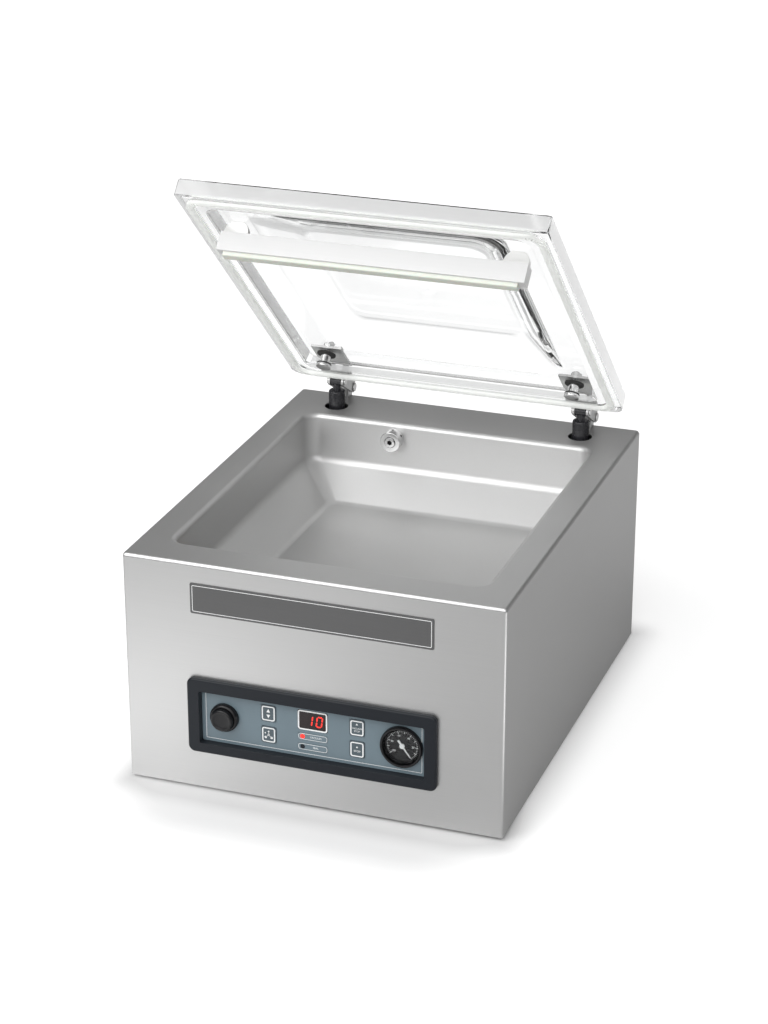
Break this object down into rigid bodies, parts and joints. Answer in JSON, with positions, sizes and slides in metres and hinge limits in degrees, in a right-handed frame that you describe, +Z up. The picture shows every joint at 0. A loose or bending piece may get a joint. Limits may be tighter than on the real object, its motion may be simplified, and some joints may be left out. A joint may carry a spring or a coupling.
{
  "type": "vacuum packing machine",
  "caption": "Table-top chamber vacuum packing machine: stainless casing, drawn chamber, clear lid on gas springs, counter bar above a rising seal bar, recessed panel with gauge.",
  "frame": {"origin": "On the table under the middle of the casing", "axes": "X to the right as seen from the front, Y to the rear, Z up"},
  "size_m": [0.45, 0.575, 0.6715],
  "materials": {
    "stainless": "satin, brushed along the sheet",
    "chamber_steel": "satin, drawn",
    "polished_steel": "polished",
    "aluminium": "plain turned or drawn",
    "clear_acrylic": "clear, polished",
    "gasket_silicone": "soft, pale",
    "strip_silicone": "soft, cream",
    "black_rubber": "matte",
    "dark_plastic": "fine grain",
    "black_plastic": "semi-gloss",
    "panel_film": "printed film, satin",
    "display_red": "dark lens",
    "needle_white": "white",
    "gauge_glass": "clear",
    "plate_grey": "dark satin with a light border",
    "spring_black": "semi-gloss",
    "pump_iron": "painted casting",
    "motor_paint": "enamel",
    "winding": "varnished",
    "board_green": "board",
    "tape_brown": "coated cloth"
  },
  "bodies": {
    "chassis": {"base_tray": "stainless", "rubber_feet": "black_rubber", "casing_wrap": "stainless", "rear_panel": "stainless", "rear_screws": "polished_steel", "deck_chamber": "chamber_steel", "name_plate": "plate_grey", "panel_bezel": "dark_plastic", "panel_plate": "panel_film", "display_window": "display_red", "lamp_lenses": "black_plastic", "control_board": "board_green", "switch_collar": "black_plastic", "switch_block": "dark_plastic", "gauge_case": "black_plastic", "gauge_dial": "black_plastic", "gauge_glass": "gauge_glass", "suction_port": "polished_steel", "port_screw": "polished_steel", "vacuum_hose": "black_rubber", "lift_guides": "aluminium", "lift_cylinders": "aluminium", "pump_housing": "pump_iron", "pump_end_cover": "pump_iron", "pump_mounts": "black_rubber", "exhaust_filter": "dark_plastic", "motor_body": "motor_paint", "fan_cowl": "dark_plastic", "seal_transformer": "winding", "valve_block": "aluminium", "mains_inlet": "black_plastic", "hinge_lugs": "stainless", "hinge_pins": "polished_steel", "spring_rods": "polished_steel"},
    "lid": {"lid_shell": "clear_acrylic", "lid_gasket": "gasket_silicone", "counter_bar": "aluminium", "counter_strip": "strip_silicone", "bar_holders": "aluminium", "hinge_brackets": "stainless", "lid_bolts": "polished_steel", "bolt_nuts": "polished_steel", "bolt_washers": "black_rubber", "spring_pins": "polished_steel"},
    "spring_tube_left": {"spring_tube_left": "spring_black"},
    "spring_tube_right": {"spring_tube_right": "spring_black"},
    "push_button": {"push_button": "black_plastic"},
    "program_key": {"program_key": "panel_film"},
    "cursor_key": {"cursor_key": "panel_film"},
    "vacuum_key": {"vacuum_key": "panel_film"},
    "stop_key": {"stop_key": "panel_film"},
    "gauge_needle": {"gauge_needle": "needle_white"},
    "seal_bar": {"seal_bar": "aluminium", "seal_wires": "polished_steel", "seal_tape": "tape_brown", "lift_pistons": "polished_steel"},
    "motor_drive": {"motor_armature": "polished_steel", "pump_rotor": "pump_iron", "pump_vanes": "dark_plastic", "motor_fan": "dark_plastic"}
  },
  "joints": [
    {"name": "lid_hinge", "type": "hinge", "parent": "chassis", "child": "lid", "pos_m": [0, 0.27, 0.298], "axis": [1, 0, 0], "range_deg": [0, 43], "stiffness_Nm_per_rad": 5.3, "springref_deg": -131.78},
    {"name": "spring_left_swing", "type": "hinge", "parent": "lid", "child": "spring_tube_left", "pos_m": [-0.161, 0.23601, 0.31698], "axis": [1, 0, 0], "range_deg": [-43, 0]},
    {"name": "spring_right_swing", "type": "hinge", "parent": "lid", "child": "spring_tube_right", "pos_m": [0.161, 0.23601, 0.31698], "axis": [1, 0, 0], "range_deg": [-43, 0]},
    {"name": "button_press", "type": "slide", "parent": "chassis", "child": "push_button", "axis": [0, 1, 0], "range_m": [0, 0.004], "stiffness_N_per_m": 400},
    {"name": "program_key_press", "type": "slide", "parent": "chassis", "child": "program_key", "axis": [0, 1, 0], "range_m": [0, 0.0008], "stiffness_N_per_m": 800},
    {"name": "cursor_key_press", "type": "slide", "parent": "chassis", "child": "cursor_key", "axis": [0, 1, 0], "range_m": [0, 0.0008], "stiffness_N_per_m": 800},
    {"name": "vacuum_key_press", "type": "slide", "parent": "chassis", "child": "vacuum_key", "axis": [0, 1, 0], "range_m": [0, 0.0008], "stiffness_N_per_m": 800},
    {"name": "stop_key_press", "type": "slide", "parent": "chassis", "child": "stop_key", "axis": [0, 1, 0], "range_m": [0, 0.0008], "stiffness_N_per_m": 800},
    {"name": "needle_turn", "type": "hinge", "parent": "chassis", "child": "gauge_needle", "pos_m": [0.106, -0.277, 0.097], "axis": [0, -1, 0], "range_deg": [0, 270], "stiffness_Nm_per_rad": 0.0002},
    {"name": "seal_lift", "type": "slide", "parent": "chassis", "child": "seal_bar", "axis": [0, 0, 1], "range_m": [0, 0.0055]},
    {"name": "motor_spin", "type": "hinge", "parent": "chassis", "child": "motor_drive", "pos_m": [0, 0.04, 0.0815], "axis": [1, 0, 0], "continuous": true}
  ],
  "couplings": [
    {"joint": "spring_left_swing", "follows": "lid_hinge", "ratio": -1},
    {"joint": "spring_right_swing", "follows": "lid_hinge", "ratio": -1}
  ]
}
